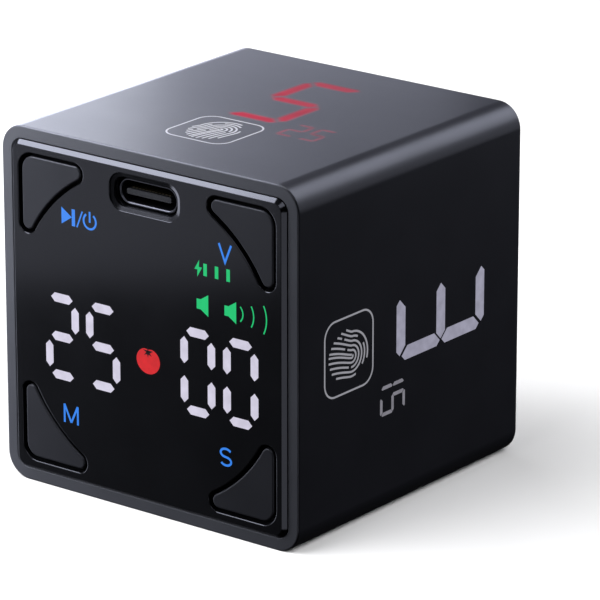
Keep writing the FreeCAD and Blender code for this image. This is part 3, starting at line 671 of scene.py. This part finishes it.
def dress_frame(frame):
    """Gives each CAD node the material of its slot, shaded smooth but for its real edges."""
    looks = slot_materials()
    for row in frame["record"]["subparts"]:
        node = frame["nodes"][row["node"]]
        crisp(node.data)
        node.data.materials.clear()
        node.data.materials.append(looks[row["material_slot"]])
    return looks


# ---------------------------------------------------------------- studio

def floor():
    """A pale table top, with a very faint mottle."""
    mesh = bmesh.new()
    bmesh.ops.create_grid(mesh, x_segments=8, y_segments=8, size=1.5)
    piece = as_piece("studio_floor", mesh)
    look = moulded("floor_white", (0.86, 0.86, 0.87), 0.9, grain=0.4, depth=0.0, vary=0.004, specular=0.0)
    piece.data.materials.append(look)
    piece.visible_glossy = False
    piece.visible_shadow = False
    piece.visible_diffuse = False
    return piece


def softbox(name, place, target, size, power, colour, acts):
    data = bpy.data.lights.new(name, "AREA")
    data.shape = "SQUARE"
    data.size = size
    data.energy = power
    data.color = colour
    light = bpy.data.objects.new(name, data)
    bpy.context.scene.collection.objects.link(light)
    light.location = place
    light.rotation_euler = (Vector(target) - Vector(place)).to_track_quat("-Z", "Y").to_euler()
    light.visible_camera = False
    light.visible_diffuse, light.visible_glossy = acts
    return light


def pieces_in(name, pieces):
    group = bpy.data.collections.new(name)
    for piece in pieces:
        group.objects.link(piece)
    return group


def studio(centre, table):
    """Soft boxes round the cube; the table top has its own, so that it stays white round a soft shadow."""
    world = bpy.data.worlds.new("studio_air")
    bpy.context.scene.world = world
    world.use_nodes = True
    air = world.node_tree.nodes["Background"]
    air.inputs["Color"].default_value = (0.9, 0.92, 1.0, 1)
    air.inputs["Strength"].default_value = AIR
    solid = [piece for piece in bpy.context.scene.objects if piece.type == "MESH" and piece is not table]
    cube_group, table_group = pieces_in("lit_cube", solid), pieces_in("lit_table", [table])
    for group, rig in ((cube_group, CUBE_LIGHTS), (table_group, TABLE_LIGHTS)):
        for name, place, size, watts, colour, acts in rig:
            light = softbox(name, centre + Vector(place), centre, size, watts, colour, acts)
            light.light_linking.receiver_collection = group


def camera(centre):
    azimuth, elevation = math.radians(VIEW_AZIMUTH), math.radians(VIEW_ELEVATION)
    outward = Vector((math.sin(azimuth) * math.cos(elevation), -math.cos(azimuth) * math.cos(elevation),
                      math.sin(elevation)))
    right = Vector((math.cos(azimuth), math.sin(azimuth), 0))
    above = outward.cross(right)
    data = bpy.data.cameras.new("camera")
    data.lens = LENS
    data.clip_start = 0.01
    eye = bpy.data.objects.new("camera", data)
    bpy.context.scene.collection.objects.link(eye)
    eye.location = centre + outward * VIEW_DISTANCE
    aim = centre + right * AIM_RIGHT - above * AIM_DOWN
    eye.rotation_euler = (aim - eye.location).to_track_quat("-Z", "Y").to_euler()
    bpy.context.scene.camera = eye


# ---------------------------------------------------------------- assembly

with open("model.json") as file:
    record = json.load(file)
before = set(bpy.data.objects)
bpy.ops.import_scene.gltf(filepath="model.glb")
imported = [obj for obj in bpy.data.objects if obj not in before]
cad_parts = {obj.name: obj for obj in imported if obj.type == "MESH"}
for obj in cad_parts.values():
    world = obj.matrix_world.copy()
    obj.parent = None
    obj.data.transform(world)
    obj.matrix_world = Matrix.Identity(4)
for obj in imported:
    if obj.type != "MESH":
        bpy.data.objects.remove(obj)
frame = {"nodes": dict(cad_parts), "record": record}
cad_box = [list(corner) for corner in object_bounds()]
cube_centre = (Vector(cad_box[0]) + Vector(cad_box[1])) / 2
looks = dress_frame(frame)

white_light = lit_and_painted_glow_ink("digit_light", (0.61, 0.58, 0.70), 1.0, 0.08)
# The printed key legends get a painted glow: they send out their own colour though no lamp lies behind them.
blue_ink_painted_glow = lit_and_painted_glow_ink("legend_blue_painted_glow", (0.035, 0.22, 0.80), 1.0)
green_light = lit_and_painted_glow_ink("symbol_green", (0.012, 0.52, 0.16), 1.0)
tomato_red = lit_and_painted_glow_ink("tomato_red", (0.60, 0.018, 0.021), 1.0, 0.12)
leaf_black = moulded("leaf_black", (0.004, 0.004, 0.004), 0.3)
# The unlit side numbers are drawn with a painted glow in place of the light they would reflect.
side_number_painted_glow = lit_and_painted_glow_ink("side_digit_painted_glow", (0.30, 0.295, 0.375), 1.0, 0.12)
small_number_painted_glow = lit_and_painted_glow_ink("small_digit_painted_glow", (0.20, 0.195, 0.225), 1.0, 0.12)
# The printed touch marks glow with painted light: a bright copy for the top, where the light falls, and a
# painted shaded grey copy for the side walls.
mark_painted_shade_glow = lit_and_painted_glow_ink("touch_mark_painted_shade_glow", (0.28, 0.28, 0.31), 1.0)
mark_painted_lit_glow = lit_and_painted_glow_ink("touch_mark_painted_lit_glow", (0.55, 0.55, 0.59), 1.0)

front_film("front_digits", front_digits(), white_light)
front_film("key_legends", key_legends(), blue_ink_painted_glow)
front_film("status_symbols", status_symbols(), green_light)
front_film("tomato_flesh", tomato_flesh(), tomato_red)
leaves = film("tomato_leaves", tomato_leaves(), front_place(), (1, 0, 0), (0, 0, 1), LEAF_PROUD)
dress(leaves, leaf_black)

for wall in PRESETS:
    marks = Sheet()
    across, up = TOP_MARK_PLACE if wall == "top" else MARK_PLACE
    touch_mark(marks, across, up, MARK_SEED)
    # Painted lit copy of the mark on the top, painted shaded copy on the sides.
    wall_film(wall + "_touch_mark", wall, marks, mark_painted_lit_glow if wall == "top" else mark_painted_shade_glow)
    if wall != "top":
        wall_film(wall + "_large_number", wall, large_number(wall), side_number_painted_glow)
        wall_film(wall + "_small_number", wall, small_number(wall), small_number_painted_glow)
red_glow = shine_through("glow_red", looks["sleeve_satin"], (0.40, 0.022, 0.045), 0.64)
top_large = glow_patch("top_number_large", PRESETS["top"][0], large_character(), [(0.3, 5.9)],
                       0.55, 0.92, *wall_axes("top"))
dress(top_large, red_glow)
top_small = glow_patch("top_number_small", PRESETS["top"][1], small_character(), [(7.8, -3.7), (11.1, -3.7)],
                       0.34, 0.6, *wall_axes("top"))
dress(top_small, red_glow)

studio(cube_centre, floor())
camera(cube_centre)
bpy.context.scene.view_settings.view_transform = "Standard"
